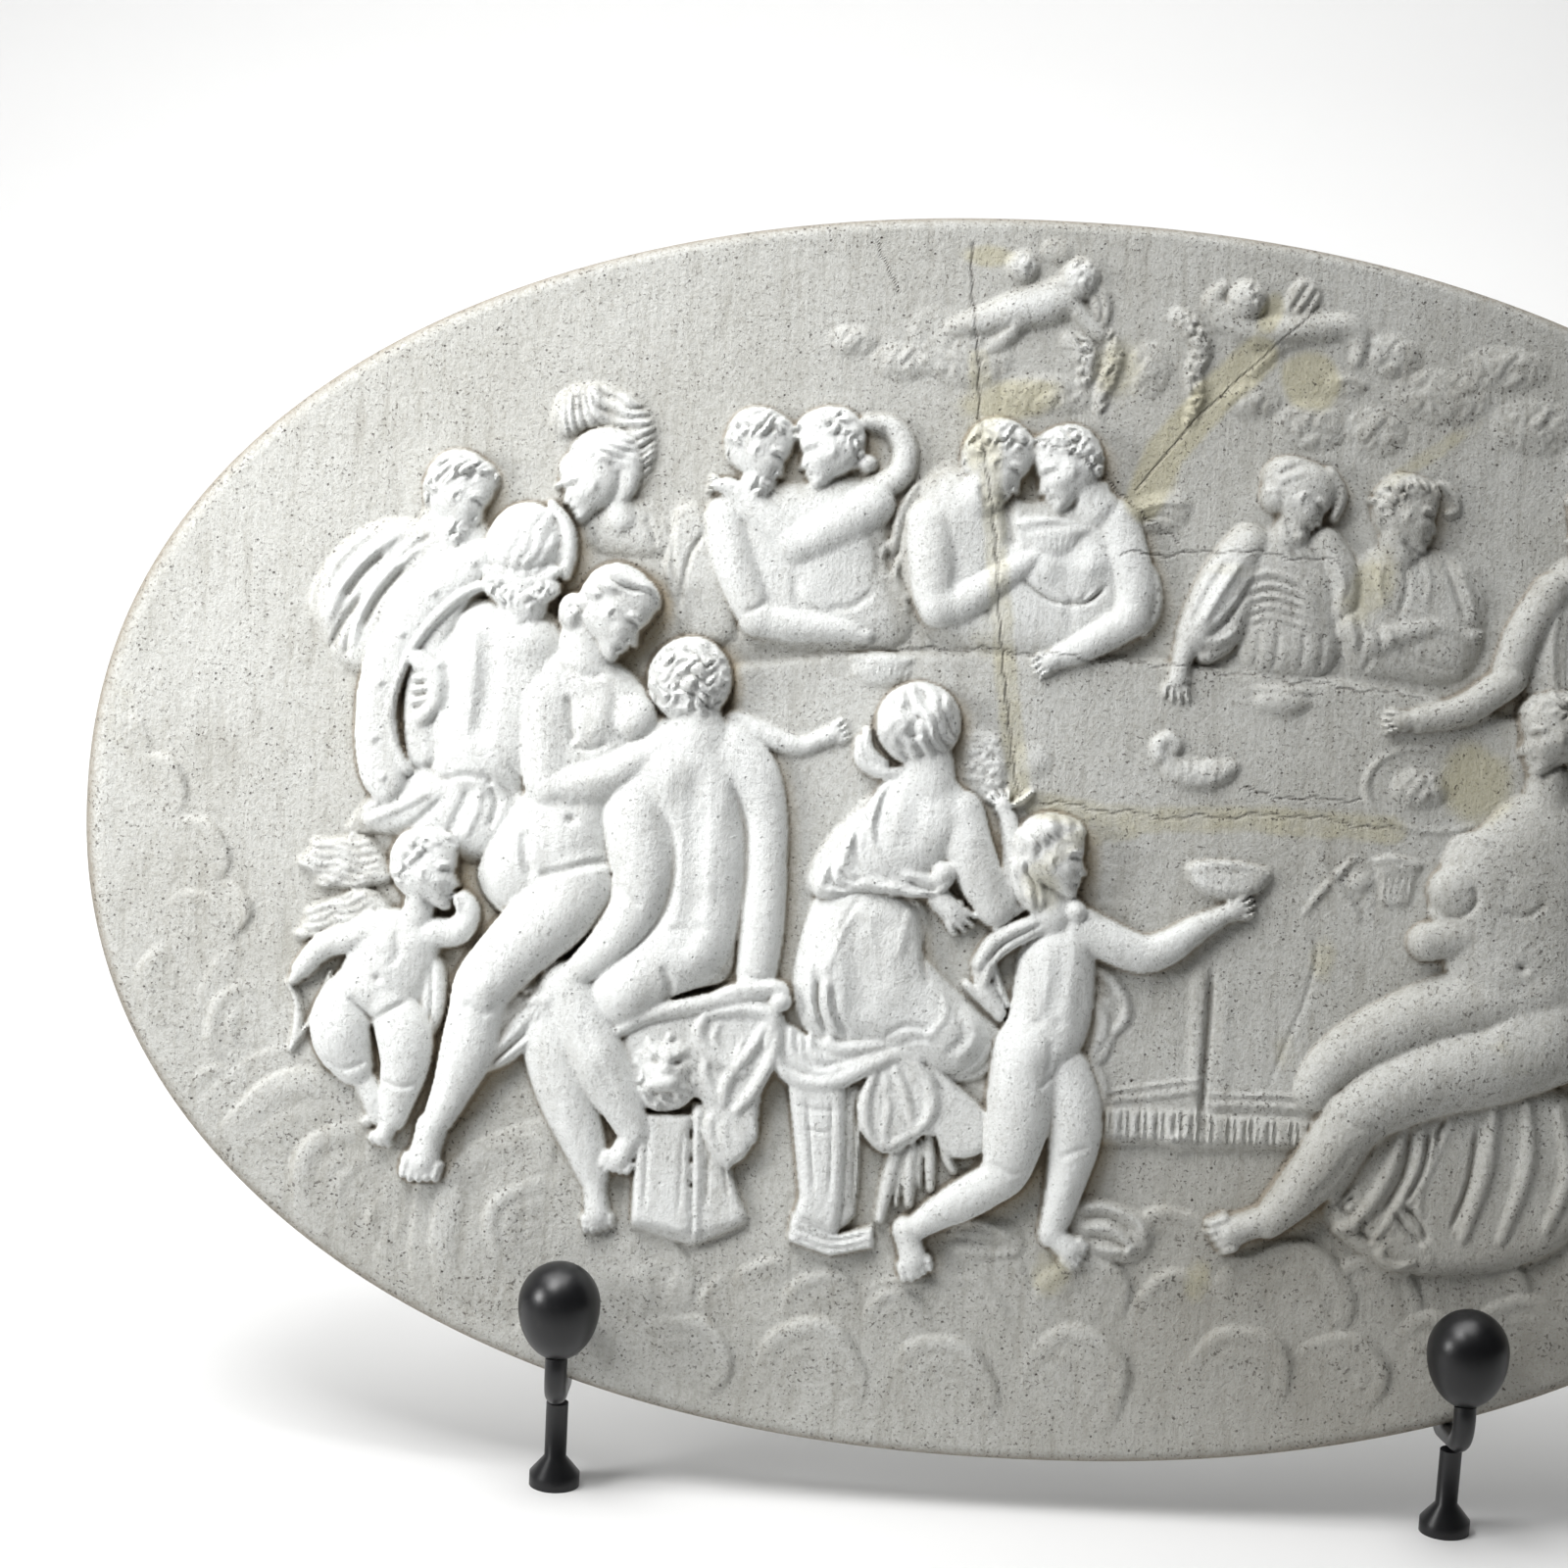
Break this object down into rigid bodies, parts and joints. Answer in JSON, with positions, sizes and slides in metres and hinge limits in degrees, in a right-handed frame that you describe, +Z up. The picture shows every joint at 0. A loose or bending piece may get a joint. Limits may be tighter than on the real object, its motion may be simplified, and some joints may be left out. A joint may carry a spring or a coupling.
{
  "type": "bas-relief plaque on a display stand",
  "caption": "Oval plaster bas-relief plaque of a classical feast, leaning back on a black rod display stand with egg-shaped finials.",
  "frame": {"origin": "on the table under the middle of the whole object's box", "axes": "+X to the viewer's right along the oval's length, +Y away from the viewer, +Z up"},
  "size_m": [0.6, 0.1694, 0.3999],
  "materials": {
    "aged_plaster": "matt cast plaster with grey dirt in its hollows, specks and yellowed stains",
    "black_enamel": "satin black enamel"
  },
  "bodies": {
    "root": {"relief_plaque": "aged_plaster", "arm_left": "black_enamel", "arm_right": "black_enamel", "cross_bar_low": "black_enamel", "cross_bar_high": "black_enamel", "front_foot_left": "black_enamel", "front_foot_right": "black_enamel", "finial_left": "black_enamel", "finial_right": "black_enamel"}
  },
  "joints": []
}
